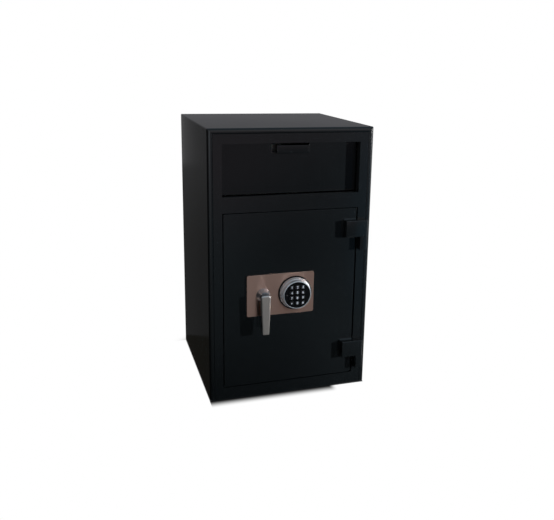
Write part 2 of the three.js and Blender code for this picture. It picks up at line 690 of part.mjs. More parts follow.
// A hinge block on the door: its rear free corner is round about the pin, and a fillet weld runs round it.
function hingeBlock(foot) {
  const swing = PIN_OUT - BLOCK_OFF;
  const right = PIN_X + swing;
  const left = right - BLOCK_LENGTH;
  const back = FRONT - BLOCK_OFF;
  const front = FRONT - BLOCK_DEPTH;
  const top = foot + BLOCK_HEIGHT;
  const plan = new THREE.Shape();
  plan.moveTo(left, back);
  plan.lineTo(left, front + BLOCK_EDGE);
  plan.lineTo(left + BLOCK_EDGE, front);
  plan.lineTo(right - BLOCK_CHAMFER, front);
  plan.lineTo(right, front + BLOCK_CHAMFER);
  plan.lineTo(right, PIN_Y);
  plan.absarc(PIN_X, PIN_Y, swing, 0, Math.PI / 2);
  const flank = polygon([
    [back, foot],
    [back, top],
    [front + BLOCK_EDGE, top],
    [front, top - BLOCK_EDGE],
    [front, foot + BLOCK_EDGE],
    [front + BLOCK_EDGE, foot],
  ]);
  const forged = pulledUp(plan, foot, top).intersect(pulledAcross(flank, left, right));
  const edge = DOOR_RIGHT - SEAM;
  const weld = tapered(
    [left - WELD, edge, foot - WELD, top + WELD],
    [left, edge, foot, top],
    back - WELD,
    FRONT - SEAM,
  );
  const bore = bar("z", PIN / 2 + PIN_PLAY, foot - WELD - OVER, top - BLIND_END, PIN_X, PIN_Y);
  return cut(joined([forged, weld]), [bore]);
}

function doorPlate() {
  const corners = [OPENING_CORNER, HINGE_CORNER, OPENING_CORNER, OPENING_CORNER];
  const plate = pulledBack(roundedRect(DOOR_LEFT, DOOR_RIGHT, DOOR_FOOT, DOOR_TOP, corners), FRONT, DOOR_BACK);
  return cut(plate, [bar("y", BUSH_RADIUS + SEAM, FRONT - OVER, DOOR_BACK + OVER, SPINDLE_X, LOCK_Z)]);
}

const panOutline = (inset, corner) =>
  evenRect(PAN_LEFT + inset, PAN_RIGHT - inset, DOOR_FOOT + PAN_INSET + inset, DOOR_TOP - PAN_INSET - inset, corner);

function doorPan() {
  const outline = panOutline(0, PAN_CORNER);
  outline.holes.push(panOutline(PAN_SHEET, PAN_CORNER - PAN_SHEET));
  const radius = BOLT / 2 + BOLT_PLAY;
  const bores = boltHeights().map((z) => bar("x", radius, PAN_LEFT - OVER, PAN_LEFT + PAN_SHEET + OVER, BOLT_Y, z));
  return cut(pulledBack(outline, PAN_FRONT, PAN_BACK), bores);
}

const panCover = () => pulledBack(panOutline(0, PAN_CORNER), PAN_BACK + SEAM, PAN_BACK + SEAM + PAN_SHEET);

function deadBar() {
  const front = FRAME_BACK + DEAD_BAR_STANDOFF;
  const foot = DOOR_FOOT + DEAD_BAR_ENDS;
  return block(PAN_RIGHT + SEAM, JAMB + DEAD_BAR_REACH, front, front + DEAD_BAR, foot, DOOR_TOP - DEAD_BAR_ENDS);
}

function lockPlate() {
  const middle = LOCK_Z - LOCK_PLATE_DROP;
  const half = LOCK_PLATE_HEIGHT / 2;
  const right = LOCK_PLATE_X + LOCK_PLATE_WIDTH;
  const outline = evenRect(LOCK_PLATE_X, right, middle - half, middle + half, LOCK_PLATE_CORNER);
  const bore = bar("y", BUSH_RADIUS + SEAM, PLATE_FACE - OVER, FRONT + OVER, SPINDLE_X, LOCK_Z);
  return cut(pulledBack(outline, PLATE_FACE, PLATE_FACE + LOCK_PLATE_SHEET), [bore]);
}

function spindleBush() {
  const length = DOOR_BACK + SEAM - PLATE_FACE;
  const profile = [
    [BUSH_BORE, 0],
    [BUSH_RADIUS + BUSH_RIM, 0],
    [BUSH_RADIUS + BUSH_RIM, BUSH_FLANGE],
    [BUSH_RADIUS, BUSH_FLANGE],
    [BUSH_RADIUS, BUSH_FLANGE + length],
    [BUSH_BORE, BUSH_FLANGE + length],
    [BUSH_BORE, 0],
  ];
  return turned(profile, SPINDLE_X, PAN_FRONT + BUSH_FLANGE, LOCK_Z);
}

// The square hole that the spindle turns a piece by, between two places on Y.
const spindleHole = (y0, y1) =>
  block(SPINDLE_X - SPINDLE_BORE, SPINDLE_X + SPINDLE_BORE, y0, y1, LOCK_Z - SPINDLE_BORE, LOCK_Z + SPINDLE_BORE);

function spindle() {
  const half = SPINDLE / 2;
  return block(SPINDLE_X - half, SPINDLE_X + half, LEVER_BACK - LEVER_SOCKET + SEAM, CAM_BACK, LOCK_Z - half, LOCK_Z + half);
}

function leverNeck() {
  const length = PLATE_FACE - LEVER_BACK - SEAM;
  const profile = [
    [0, SEAM],
    [NECK_ROOT, SEAM],
    [NECK_ROOT, SEAM + NECK_RIM],
    [NECK_WAIST, NECK_WAIST_OUT],
    [NECK_FRONT, length],
    [0, length],
  ];
  return cut(turned(profile, SPINDLE_X, PLATE_FACE, LOCK_Z), [spindleHole(LEVER_BACK - OVER, PLATE_FACE + OVER)]);
}

function lever() {
  const head = LEVER_HEAD_WIDTH / 2;
  const foot = LEVER_FOOT_WIDTH / 2;
  const outline = softPolygon([
    [SPINDLE_X - foot, LOCK_Z - LEVER_DROP, LEVER_TOE],
    [SPINDLE_X + foot, LOCK_Z - LEVER_DROP, LEVER_TOE],
    [SPINDLE_X + head, LOCK_Z + LEVER_RISE, LEVER_SHOULDER],
    [SPINDLE_X - head, LOCK_Z + LEVER_RISE, LEVER_SHOULDER],
  ]);
  const blade = pulledBack(outline, LEVER_BACK - LEVER_THICK, LEVER_BACK, LEVER_EDGE);
  return cut(blade, [spindleHole(LEVER_BACK - LEVER_SOCKET, LEVER_BACK + OVER)]);
}

function cam() {
  const disc = bar("y", CAM_RADIUS, CAM_FRONT, CAM_BACK, SPINDLE_X, LOCK_Z);
  const pin = bar("y", CAM_PIN / 2, CAM_FRONT, CARRIAGE_BACK + CAM_PIN_END, CAM_PIN_X, CAM_PIN_Z);
  return cut(joined([disc, pin]), [spindleHole(CAM_FRONT - OVER, CAM_BACK + OVER)]);
}

// The plate that carries the three bolts, with a tongue for the cam pin.
function boltCarriage() {
  const heights = boltHeights();
  const foot = heights[0] - CARRIAGE_ENDS;
  const top = heights[2] + CARRIAGE_ENDS;
  const reach = CARRIAGE_FLANGE / 2;
  const tongueZ = (CAM_PIN_Z + CAM_LOW_Z) / 2;
  const sheet = (x0, x1, z0, z1) => block(x0, x1, CARRIAGE_FRONT, CARRIAGE_BACK, z0, z1);
  const hole = (outline) => pulledBack(outline, CARRIAGE_FRONT - OVER, CARRIAGE_BACK + OVER);
  const body = joined([
    sheet(FLANGE_X, CARRIAGE_X + CARRIAGE_WIDTH, foot, top),
    block(FLANGE_X, CARRIAGE_X, BOLT_Y - reach, BOLT_Y + reach, foot, top),
    sheet(CARRIAGE_X, CAM_PIN_X + TONGUE_REACH, tongueZ - TONGUE_HEIGHT / 2, tongueZ + TONGUE_HEIGHT / 2),
  ]);
  const camHalf = CAM_PIN / 2 + SLOT_PLAY;
  const camSlot = hole(evenRect(CAM_PIN_X - camHalf, CAM_PIN_X + camHalf, CAM_LOW_Z - camHalf, CAM_PIN_Z + camHalf, camHalf));
  const stud = GUIDE_STUD / 2 + SLOT_PLAY;
  const guideSlots = guideHeights().map((z) => hole(evenRect(GUIDE_X - stud, GUIDE_X + BOLT_THROW + stud, z - stud, z + stud, stud)));
  const nut = BOLT_NUT / 2 + NUT_WINDOW;
  const nutRoom = CARRIAGE_X + BOLT_NUT_LENGTH + NUT_WINDOW;
  const windows = heights.map((z) => hole(polygon([[CARRIAGE_X, z - nut], [nutRoom, z - nut], [nutRoom, z + nut], [CARRIAGE_X, z + nut]])));
  const bores = heights.map((z) => bar("x", BOLT_SHANK / 2 + SEAM, FLANGE_X - OVER, CARRIAGE_X + OVER, BOLT_Y, z));
  return cut(body, [camSlot, ...guideSlots, ...windows, ...bores]);
}

// A flat arm welded to the carriage, with one notch for the lock bolt at each end of the throw.
function lockArm() {
  const half = LOCK_BOLT_WIDTH / 2 + LOCK_PLAY;
  const reach = LOCK_CASE_TOP + LOCK_BOLT_REST + LOCK_BOLT_THROW + LOCK_PLAY;
  const start = CARRIAGE_X + CARRIAGE_WIDTH + SEAM;
  const end = KEYPAD_X + BOLT_THROW + half + ARM_END;
  const arm = block(start, end, CARRIAGE_FRONT, CARRIAGE_BACK, ARM_Z, ARM_Z + ARM_HEIGHT);
  const notches = [0, BOLT_THROW].map((step) => {
    const x = KEYPAD_X + step;
    return block(x - half, x + half, CARRIAGE_FRONT - OVER, CARRIAGE_BACK + OVER, ARM_Z - OVER, reach);
  });
  return cut(arm, notches);
}

const guideHeights = () => [boltHeights()[0] + GUIDE_REACH, boltHeights()[2] - GUIDE_REACH];

function carriageGuide(z) {
  const end = CARRIAGE_BACK + SLOT_PLAY + GUIDE_HEAD_THICK;
  const profile = [
    [0, 0],
    [GUIDE_HEAD / 2, 0],
    [GUIDE_HEAD / 2, GUIDE_HEAD_THICK],
    [GUIDE_STUD / 2, GUIDE_HEAD_THICK],
    [GUIDE_STUD / 2, end - PAN_FRONT],
    [0, end - PAN_FRONT],
  ];
  return turned(profile, GUIDE_X, end, z);
}

// A locking bolt: a round nose and body, then a shank and nut that hold it to the carriage flange.
function lockingBolt(z) {
  const radius = BOLT / 2;
  const shoulder = FLANGE_X - SEAM - BOLT_TIP;
  const nut = CARRIAGE_X + SEAM - BOLT_TIP;
  const profile = [
    [0, 0],
    [radius - BOLT_NOSE, 0],
    [radius, BOLT_NOSE],
    [radius, shoulder],
    [BOLT_SHANK / 2, shoulder],
    [BOLT_SHANK / 2, nut],
    [BOLT_NUT / 2, nut],
    [BOLT_NUT / 2, nut + BOLT_NUT_LENGTH],
    [0, nut + BOLT_NUT_LENGTH],
  ];
  return turnedAcross(profile, BOLT_TIP, BOLT_Y, z);
}

function lockCase() {
  const half = LOCK_CASE_WIDTH / 2;
  const outline = evenRect(KEYPAD_X - half, KEYPAD_X + half, LOCK_CASE_TOP - LOCK_CASE_HEIGHT, LOCK_CASE_TOP, LOCK_CASE_CORNER);
  const x = LOCK_BOLT_WIDTH / 2 + LOCK_PLAY;
  const y = LOCK_BOLT_THICK / 2 + LOCK_PLAY;
  const foot = LOCK_CASE_TOP + LOCK_BOLT_REST - LOCK_BOLT_LENGTH - LOCK_BOLT_WELL;
  const slot = block(KEYPAD_X - x, KEYPAD_X + x, BOLT_Y - y, BOLT_Y + y, foot, LOCK_CASE_TOP + OVER);
  return cut(pulledBack(outline, PAN_FRONT, PAN_FRONT + LOCK_CASE_DEPTH), [slot]);
}

function lockBolt() {
  const x = LOCK_BOLT_WIDTH / 2;
  const y = LOCK_BOLT_THICK / 2;
  const top = LOCK_CASE_TOP + LOCK_BOLT_REST;
  return block(KEYPAD_X - x, KEYPAD_X + x, BOLT_Y - y, BOLT_Y + y, top - LOCK_BOLT_LENGTH, top);
}

function keypadBase() {
  const profile = [
    [0, SEAM],
    [PAD_RADIUS, SEAM],
    [PAD_RADIUS, PAD_BASE - PAD_EDGE],
    [PAD_RADIUS - PAD_EDGE, PAD_BASE],
    [FACE_RADIUS, PAD_BASE],
    [FACE_RADIUS, PAD_PLATFORM],
    [0, PAD_PLATFORM],
  ];
  return turned(profile, KEYPAD_X, PLATE_FACE, LOCK_Z, FINE_STEPS);
}

function keypadRing() {
  const bore = RING_FRONT - RING_WALL;
  const profile = [
    [bore, PAD_BASE + SEAM],
    [RING_ROOT, PAD_BASE + SEAM],
    [RING_STEP, RING_STEP_HEIGHT],
    [RING_STEP - RING_GROOVE, RING_STEP_HEIGHT],
    [RING_FRONT + RING_EDGE, RING_TOP - RING_EDGE],
    [RING_FRONT, RING_TOP],
    [bore, RING_TOP],
    [bore, PAD_BASE + SEAM],
  ];
  return turned(profile, KEYPAD_X, PLATE_FACE, LOCK_Z, FINE_STEPS);
}

// The outline of a key at a column and row, grown by some play.
function keyOutline(column, row, grow) {
  const x = KEYPAD_X + (column - 1) * KEY_PITCH_X;
  const z = LOCK_Z + (KEY_LABELS.length / 2 - row) * KEY_PITCH_Z - KEY_PITCH_Z / 2;
  const half = KEY_WIDTH / 2 + grow;
  const rise = KEY_HEIGHT / 2 + grow;
  return evenRect(x - half, x + half, z - rise, z + rise, KEY_CORNER + grow);
}

function keypadFace() {
  const profile = [
    [0, FACE_IN],
    [FACE_RADIUS - FACE_SKIRT, FACE_IN],
    [FACE_RADIUS - FACE_SKIRT, PAD_PLATFORM + SEAM],
    [FACE_RADIUS, PAD_PLATFORM + SEAM],
    [FACE_RADIUS, FACE_OUT],
    [0, FACE_OUT],
  ];
  const front = PLATE_FACE - FACE_OUT - OVER;
  const back = PLATE_FACE - FACE_IN + OVER;
  const holes = KEY_LABELS.flatMap((labels, row) =>
    labels.map((_, column) => pulledBack(keyOutline(column, row, KEY_PLAY), front, back, 0, KEY_STEPS)),
  );
  const led = bar("y", LED_RADIUS + SEAM, front, back, KEYPAD_X - LED_OFFSET, LOCK_Z + LED_RISE);
  return cut(turned(profile, KEYPAD_X, PLATE_FACE, LOCK_Z, FINE_STEPS), [...holes, led]);
}

function key(column, row) {
  const flangeFront = PLATE_FACE - FACE_IN + SEAM;
  const flangeBack = flangeFront + KEY_FLANGE_THICK;
  const capFront = PLATE_FACE - FACE_OUT - KEY_PROUD;
  const cap = pulledBack(keyOutline(column, row, 0), capFront, flangeBack, KEY_EDGE, KEY_STEPS);
  return joined([cap, pulledBack(keyOutline(column, row, KEY_FLANGE), flangeFront, flangeBack, 0, KEY_STEPS)]);
}

const statusLed = () =>
  bar(
    "y",
    LED_RADIUS,
    PLATE_FACE - FACE_OUT - LED_PROUD,
    PLATE_FACE - PAD_PLATFORM - SEAM,
    KEYPAD_X - LED_OFFSET,
    LOCK_Z + LED_RISE,
  );

function drawerFront() {
  const foot = SILL_Z + DRAWER_GAP;
  const plate = block(-DRAWER_HALF, DRAWER_HALF, DRAWER_FACE, DRAWER_REAR, foot, DRAWER_TOP);
  const half = NOTCH_WIDTH / 2;
  return cut(plate, [block(-half, half, DRAWER_FACE - OVER, DRAWER_REAR + OVER, NOTCH_Z, DRAWER_TOP + OVER)]);
}

// The pull: a leaf in front of the notch, joined at its foot to the drawer front.
function drawerLip() {
  const back = DRAWER_FACE - SEAM;
  const leaf = DRAWER_FACE - LIP_STAND;
  const front = leaf - LIP_SHEET;
  const foot = NOTCH_Z - LIP_BELOW;
  const profile = new THREE.Shape();
  profile.moveTo(back, foot);
  profile.lineTo(back, foot + LIP_SHEET);
  profile.lineTo(leaf, foot + LIP_SHEET);
  profile.lineTo(leaf, foot + LIP_HEIGHT);
  profile.lineTo(front, foot + LIP_HEIGHT);
  profile.lineTo(front, foot + LIP_BEND);
  profile.absarc(front + LIP_BEND, foot + LIP_BEND, LIP_BEND, Math.PI, Math.PI + Math.PI / 2);
  return pulledAcross(profile, LIP_SHIFT - LIP_WIDTH / 2, LIP_SHIFT + LIP_WIDTH / 2);
}

function drawerBox() {
  const inner = BOX_HALF - BOX_SHEET;
  const tip = BOX_HALF - BOX_FLANGE;
  const flange = BOX_FRONT + BOX_SHEET;
  const end = BOX_BACK - BOX_SHEET;
  const outline = polygon([
    [-tip, BOX_FRONT],
    [-BOX_HALF, BOX_FRONT],
    [-BOX_HALF, BOX_BACK],
    [BOX_HALF, BOX_BACK],
    [BOX_HALF, BOX_FRONT],
    [tip, BOX_FRONT],
    [tip, flange],
    [inner, flange],
    [inner, end],
    [-inner, end],
    [-inner, flange],
    [-tip, flange],
  ]);
  const rod = bar("x", TRAP_ROD / 2 + SEAM, -BOX_HALF - OVER, BOX_HALF + OVER, TRAP_Y, TRAP_Z);
  return cut(pulledUp(outline, SILL_Z + BOX_FOOT_GAP, DRAWER_HEAD_Z - BOX_TOP_GAP), [rod]);
}

const trapRod = () => bar("x", TRAP_ROD / 2, -BOX_HALF - TRAP_ROD_END, BOX_HALF + TRAP_ROD_END, TRAP_Y, TRAP_Z);

// The drawer's floor, drawn level about its hinge and then let down.
function trapFloor() {
  const half = BOX_HALF - BOX_SHEET - TRAP_SIDE_GAP;
  const length = BOX_BACK - BOX_SHEET - TRAP_END_GAP - TRAP_Y;
  const floor = -TRAP_EYE;
  const ribs = [-1, 0, 1].map((step) => {
    const x = step * TRAP_RIB_PITCH - TRAP_RIB_WIDTH / 2;
    return block(x, x + TRAP_RIB_WIDTH, TRAP_RIB_INSET, length - TRAP_RIB_INSET, floor - TRAP_RIB_HEIGHT, floor + TRAP_SHEET);
  });
  const level = joined([
    block(-half, half, 0, length, floor, floor + TRAP_SHEET),
    block(-half, half, length - TRAP_SHEET, length, floor - TRAP_HEM, floor + TRAP_SHEET),
    bar("x", TRAP_EYE, -half, half, 0, 0),
    ...ribs,
  ]);
  const bore = bar("x", TRAP_ROD / 2 + TRAP_PLAY, -half - OVER, half + OVER, 0, 0);
  return cut(level, [bore]).rotate([-TRAP_ANGLE, 0, 0]).translate([0, TRAP_Y, TRAP_Z]);
}

const safe = new THREE.Group();
const place = (name, made, material) => safe.add(piece(name, made, material));

place("outer_shell", outerShell(), blackPaint);
place("base_plate", basePlate(), blackPaint);
place("back_panel", backPanel(), blackPaint);
place("front_frame", frontFrame(), blackPaint);
place("drawer_collar", drawerCollar(), innerPaint);
place("deposit_shelf", depositShelf(), innerPaint);
place("anti_fish_comb", antiFishComb(), zincPlate);
place("strike_bar", strikeBar(), innerPaint);
place("runner_left", runner(-1), zincPlate);
place("runner_right", runner(1), zincPlate);
place("drawer_buffer_left", drawerBuffer(-1), rubber);
place("drawer_buffer_right", drawerBuffer(1), rubber);
place("hinge_knuckle_upper", hingeKnuckle(UPPER_BLOCK_Z), blackPaint);
place("hinge_knuckle_lower", hingeKnuckle(LOWER_BLOCK_Z), blackPaint);
place("hinge_pin_upper", hingePin(UPPER_BLOCK_Z), steel);
place("hinge_pin_lower", hingePin(LOWER_BLOCK_Z), steel);

place("door_plate", doorPlate(), blackPaint);
place("door_pan", doorPan(), innerPaint);
place("pan_cover", panCover(), innerPaint);
place("hinge_block_upper", hingeBlock(UPPER_BLOCK_Z), blackPaint);
place("hinge_block_lower", hingeBlock(LOWER_BLOCK_Z), blackPaint);
place("dead_bar", deadBar(), steel);
place("lock_plate", lockPlate(), brushedPlate);
place("spindle_bush", spindleBush(), brass);
place("lock_case", lockCase(), zincPlate);
guideHeights().forEach((z, i) => place(["carriage_guide_lower", "carriage_guide_upper"][i], carriageGuide(z), steel));
place("keypad_base", keypadBase(), blackPlastic);
place("keypad_ring", keypadRing(), chrome);
place("keypad_face", keypadFace(), blackPlastic);
place("status_led", statusLed(), lens);

place("lever", lever(), satinMetal);
place("lever_neck", leverNeck(), chrome);
place("spindle", spindle(), steel);
place("cam", cam(), steel);
place("bolt_carriage", boltCarriage(), zincPlate);
place("lock_arm", lockArm(), zincPlate);
boltHeights().forEach((z, i) => place(["bolt_lower", "bolt_middle", "bolt_upper"][i], lockingBolt(z), steel));
place("lock_bolt", lockBolt(), brass);
KEY_LABELS.forEach((labels, row) => labels.forEach((label, column) => place(`key_${label}`, key(column, row), keyRubber)));

place("drawer_front", drawerFront(), blackPaint);
place("drawer_lip", drawerLip(), blackPaint);
place("drawer_box", drawerBox(), zincPlate);
place("slide_left", slide(-1), zincPlate);
place("slide_right", slide(1), zincPlate);
place("trap_rod", trapRod(), steel);
place("trap_floor", trapFloor(), zincPlate);

export default safe;
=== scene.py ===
"""Drop safe with a deposit drawer over a vault door, dressed over its CAD frame.

Metres, +Z up, front along -Y.
"""

import json
import math

import bmesh
import bpy
import numpy as np
from mathutils import Matrix, Vector


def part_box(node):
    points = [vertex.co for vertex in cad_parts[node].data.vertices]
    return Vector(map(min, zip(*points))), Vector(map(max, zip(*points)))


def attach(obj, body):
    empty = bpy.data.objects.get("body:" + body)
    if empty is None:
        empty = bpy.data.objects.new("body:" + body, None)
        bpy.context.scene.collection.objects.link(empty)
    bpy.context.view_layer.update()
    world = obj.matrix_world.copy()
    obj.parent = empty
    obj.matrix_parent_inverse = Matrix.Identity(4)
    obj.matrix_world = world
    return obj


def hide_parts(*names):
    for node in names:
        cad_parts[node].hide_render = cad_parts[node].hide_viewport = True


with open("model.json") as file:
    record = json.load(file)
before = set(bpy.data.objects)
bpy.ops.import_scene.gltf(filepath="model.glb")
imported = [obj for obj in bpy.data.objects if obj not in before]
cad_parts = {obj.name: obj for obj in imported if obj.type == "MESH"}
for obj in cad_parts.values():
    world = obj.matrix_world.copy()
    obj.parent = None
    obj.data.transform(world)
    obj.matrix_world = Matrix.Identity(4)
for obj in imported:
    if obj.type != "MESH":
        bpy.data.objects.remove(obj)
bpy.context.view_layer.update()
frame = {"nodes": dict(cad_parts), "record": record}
NODES = frame["nodes"]
BODY_OF = {node: body for body, nodes in frame["record"]["behaviour"]["bodies"].items() for node in nodes}

# Sizes of the safe, in metres
HALF = 0.2125
FRONT = -0.205
BACK = 0.205
TOP = 0.7
ROLL = 0.013
ROLL_DEPTH = 0.005
CREST = 0.009
GROOVE = 0.0013
GROOVE_WIDTH = 0.0029
FOLD = 0.0025
SHEET = 0.006
PLATE_FACE = -0.2083
SPINDLE = (-0.0745, 0.2795)
KEYPAD = (0.0092, 0.2795)

# Turned pieces: radii, and how far a ring of them stands in front of the lock plate
SEAT = 0.0003
NECK_ROOT = 0.018
NECK_LENGTH = 0.0175
RING_BORE = 0.0344
RING_BACK = 0.0042
RING_FRONT = 0.0236
FOOT_RADIUS = 0.0444
FOOT_HEIGHT = 0.0038
PLATFORM_RADIUS = 0.0341
PLATFORM_HEIGHT = 0.0145

# Figures on the keys, and the lever's width as a share of its solid's
FIGURE_SIZE = 0.0087
FIGURE_WEIGHT = 0.00022
FIGURE_THICKNESS = 0.00006
FIGURE_GAP = 0.00002
LEVER_TOP_SHARE = 1.03
LEVER_TAPER_SHARE = 0.14

# Studio
AMBIENT = 0.13
FLOOR_HALF = 30
CARD_HEIGHT = 0.003
CARD_GAP = 0.0002
REAR_FLOOR_RIGHT = 1.6
SHADE_REACH = 0.034
SHADE_RIGHT_FADE = (0.112, 0.132)
ROOM_LEFT = -6
ROOM_RIGHT = 9
ROOM_FRONT = -6
ROOM_BACK = 4
ROOM_FOOT = -1
ROOM_TOP = 4


# Shader nodes
class Wire:
    """An output socket of a node. Python's operators on it add Math nodes."""

    def __init__(self, finish, socket):
        self.finish = finish
        self.socket = socket

    def math(self, operation, *values):
        return self.finish.node("ShaderNodeMath", {"operation": operation}, values)

    def __add__(self, other):
        return self.math("ADD", self, other)

    __radd__ = __add__

    def __sub__(self, other):
        return self.math("SUBTRACT", self, other)

    def __rsub__(self, other):
        return self.math("SUBTRACT", other, self)

    def __mul__(self, other):
        return self.math("MULTIPLY", self, other)

    __rmul__ = __mul__

    def __truediv__(self, other):
        return self.math("DIVIDE", self, other)

    def cosine(self):
        return self.math("COSINE", self)

    def at_most(self, limit):
        return self.math("MINIMUM", self, limit)

    def between(self, low, high):
        """0 below low, 1 above high and a smooth step between them."""
        settings = {"interpolation_type": "SMOOTHSTEP"}
        sockets = {"Value": self, "From Min": low, "From Max": high}
        return self.finish.node("ShaderNodeMapRange", settings, sockets)


class Finish:
    """A material, or another node tree, that is put together node by node."""

    def __init__(self, name, tree=None):
        if tree is None:
            self.material = bpy.data.materials.new(name)
            self.material.use_nodes = True
            tree = self.material.node_tree
        self.tree = tree
        self.tree.nodes.clear()

    def node(self, kind, settings=None, sockets=(), output=0):
        """One node: its settings first, then the values or wires of its sockets, by name or in order."""
        made = self.tree.nodes.new(kind)
        for key, value in (settings or {}).items():
            setattr(made, key, value)
        pairs = sockets.items() if isinstance(sockets, dict) else enumerate(sockets)
        for key, value in pairs:
            if isinstance(value, Wire):
                self.tree.links.new(value.socket, made.inputs[key])
            else:
                made.inputs[key].default_value = value
        return Wire(self, made.outputs[output]) if made.outputs else None

    def place(self, scale=(1, 1, 1), centre=(0, 0, 0)):
        """The object's coordinates, stretched and moved by a Mapping node."""
        spot = self.node("ShaderNodeTexCoord", output="Object")
        return self.node("ShaderNodeMapping", None, {"Vector": spot, "Location": centre, "Scale": scale})

    def axis(self, vector, letter):
        """One coordinate of a vector."""
        return self.node("ShaderNodeSeparateXYZ", None, [vector], letter)

    def angle(self, first, second):
        """The angle, in radians, whose tangent is the first number over the second."""
        return self.node("ShaderNodeMath", {"operation": "ARCTAN2"}, [first, second])

    def noise(self, spot, scale, detail=2, roughness=0.5):
        """Fractal noise about 0.5."""
        sockets = {"Vector": spot, "Scale": scale, "Detail": detail, "Roughness": roughness}
        return self.node("ShaderNodeTexNoise", None, sockets)

    def blend(self, factor, first, second):
        """A colour between two others."""
        return self.node("ShaderNodeMix", {"data_type": "RGBA"}, {0: factor, 6: first, 7: second}, 2)

    def times(self, colour, factor):
        """A colour times a number."""
        sockets = {0: colour, "Scale": factor}
        return self.node("ShaderNodeVectorMath", {"operation": "SCALE"}, sockets, "Vector")

    def bump(self, height, distance):
        """A normal tilted by a height, in metres at full height."""
        return self.node("ShaderNodeBump", None, {"Height": height, "Distance": distance, "Strength": 1.0})

    def edge(self, radius):
        """1 on outer and inner edges and 0 on flats: how far a rounded normal turns away from the true one."""
        round_normal = self.node("ShaderNodeBevel", {"samples": 4}, {"Radius": radius})
        true_normal = self.node("ShaderNodeNewGeometry", output="Normal")
        normals = [round_normal, true_normal]
        dot = self.node("ShaderNodeVectorMath", {"operation": "DOT_PRODUCT"}, normals, "Value")
        return (1 - dot).between(0.02, 0.2)

    def in_sight(self):
        """1 for what the camera, a reflection or a clear surface sees, and 0 for what only sheds light."""
        rays = ("Is Camera Ray", "Is Glossy Ray", "Is Transmission Ray")
        sight = [self.node("ShaderNodeLightPath", output=ray) for ray in rays]
        settings = {"operation": "ADD", "use_clamp": True}
        return self.node("ShaderNodeMath", settings, [sight[0] + sight[1], sight[2]])

    def glow(self, colour):
        """A shader of a plain colour that no light changes."""
        return self.node("ShaderNodeEmission", None, {"Color": colour, "Strength": 1.0})

    def surface(self, shader):
        self.node("ShaderNodeOutputMaterial", None, [shader])
        return self.material

    def principled(self, **sockets):
        """A material from the sockets of a Principled shader, whose names have _ for a space."""
        named = {name.replace("_", " "): value for name, value in sockets.items()}
        return self.surface(self.node("ShaderNodeBsdfPrincipled", None, named))


def tone(red, green=None, blue=None):
    """A colour from sRGB numbers of 0 to 255, or a grey from one."""
    values = np.array([red, red if green is None else green, red if blue is None else blue]) / 255
    linear = np.where(values <= 0.04045, values / 12.92, ((values + 0.055) / 1.055) ** 2.4)
    return (*linear.tolist(), 1.0)


# Finishes
def make_black_paint(name="black_paint", gloss=0.5):
    """Semi-gloss black enamel over steel: a fine orange peel, slow changes of sheen, dust and pale rubbed
    edges."""
    f = Finish(name)
    spot = f.place()
    cloud = f.noise(spot, 7, 3)
    peel = f.noise(spot, 330, 2)
    grain = f.noise(spot, 1500, 2)
    rubbed = f.edge(0.0009) * f.noise(spot, 60, 3).between(0.45, 0.75)
    dust = grain.between(0.62, 0.8) * f.noise(spot, 24, 3).between(0.5, 0.8)
    colour = f.blend(cloud, (0.0042, 0.0055, 0.0064, 1), (0.0054, 0.0070, 0.0080, 1))
    colour = f.blend(dust * 0.05, colour, tone(96))
    colour = f.blend(rubbed * 0.12, colour, tone(92))
    return f.principled(
        Base_Color=colour,
        Roughness=0.13 + cloud * 0.07 + dust * 0.06,
        Specular_IOR_Level=gloss,
        Normal=f.bump(peel, 0.000004),
    )


def make_inner_paint():
    """Flat dark grey paint inside the safe."""
    f = Finish("inner_paint")
    spot = f.place()
    cloud = f.noise(spot, 12, 4)
    grain = f.noise(spot, 900, 2)
    rubbed = f.edge(0.0009) * f.noise(spot, 80, 3).between(0.4, 0.7)
    colour = f.blend(cloud, tone(30, 31, 33), tone(40, 41, 43))
    return f.principled(
        Base_Color=f.blend(rubbed * 0.5, colour, tone(110)),
        Roughness=0.5 + grain * 0.2,
        Normal=f.bump(grain, 0.00005),
    )


def metal(name, low, high, roughness, stretch=(1, 1, 1), scale=60, streak=0.2, grain=0.0, metallic=1.0):
    """A bare or plated metal: streaks drawn out along one axis change its colour and roughness. A grain smears
    its reflections upright, as brushing from side to side does."""
    f = Finish(name)
    lines = f.noise(f.place(scale=stretch), scale, 4, 0.6)
    cloud = f.noise(f.place(), 18, 3)
    worn = f.edge(0.0008)
    colour = f.blend(cloud * 0.5 + lines * 0.5, low, high)
    return f.principled(
        Base_Color=f.blend(worn * 0.3, colour, (0.8, 0.8, 0.8, 1)),
        Metallic=metallic,
        Roughness=roughness + (lines - 0.5) * streak + (cloud - 0.5) * 0.08,
        Anisotropic=grain,
        Anisotropic_Rotation=0.25 if grain else 0.0,
        Normal=f.bump(lines, 0.000004),
    )


def make_lever_metal():
    """Satin nickel, drawn out along the lever, with a painted highlight on the bevels of its face. Where the
    surface turns away from the front, on the sides and the back, painted shade makes it a dark grey."""
    f = Finish("lever_metal")
    lines = f.noise(f.place(scale=(1, 1, 0.07)), 1300, 4, 0.6)
    cloud = f.noise(f.place(), 18, 3)
    facing = 0 - f.axis(f.node("ShaderNodeTexCoord", output="Normal"), "Y")
    # Painted shade: front is 1 on the lever's face and 0 on its sides and back, which are painted dark grey.
    front = facing.between(0.15, 0.5)
    # Painted highlight: bevel marks the rim of the face, which is painted paler.
    bevel = front * (1 - facing.between(0.9, 0.985))
    face = f.blend(cloud, tone(186, 179, 173), tone(196, 189, 183))
    face = f.blend(bevel * 0.25, face, (0.95, 0.95, 0.95, 1))
    worn = f.edge(0.0005) * 0.25
    return f.principled(
        # tone(58, 58, 60) is the painted shade of the sides and back.
        Base_Color=f.blend(worn, f.blend(front, tone(58, 58, 60), face), (0.85, 0.85, 0.85, 1)),
        Metallic=1.0,
        Roughness=0.42 + (lines - 0.5) * 0.12 + (cloud - 0.5) * 0.08,
        Normal=f.bump(lines, 0.000004),
    )


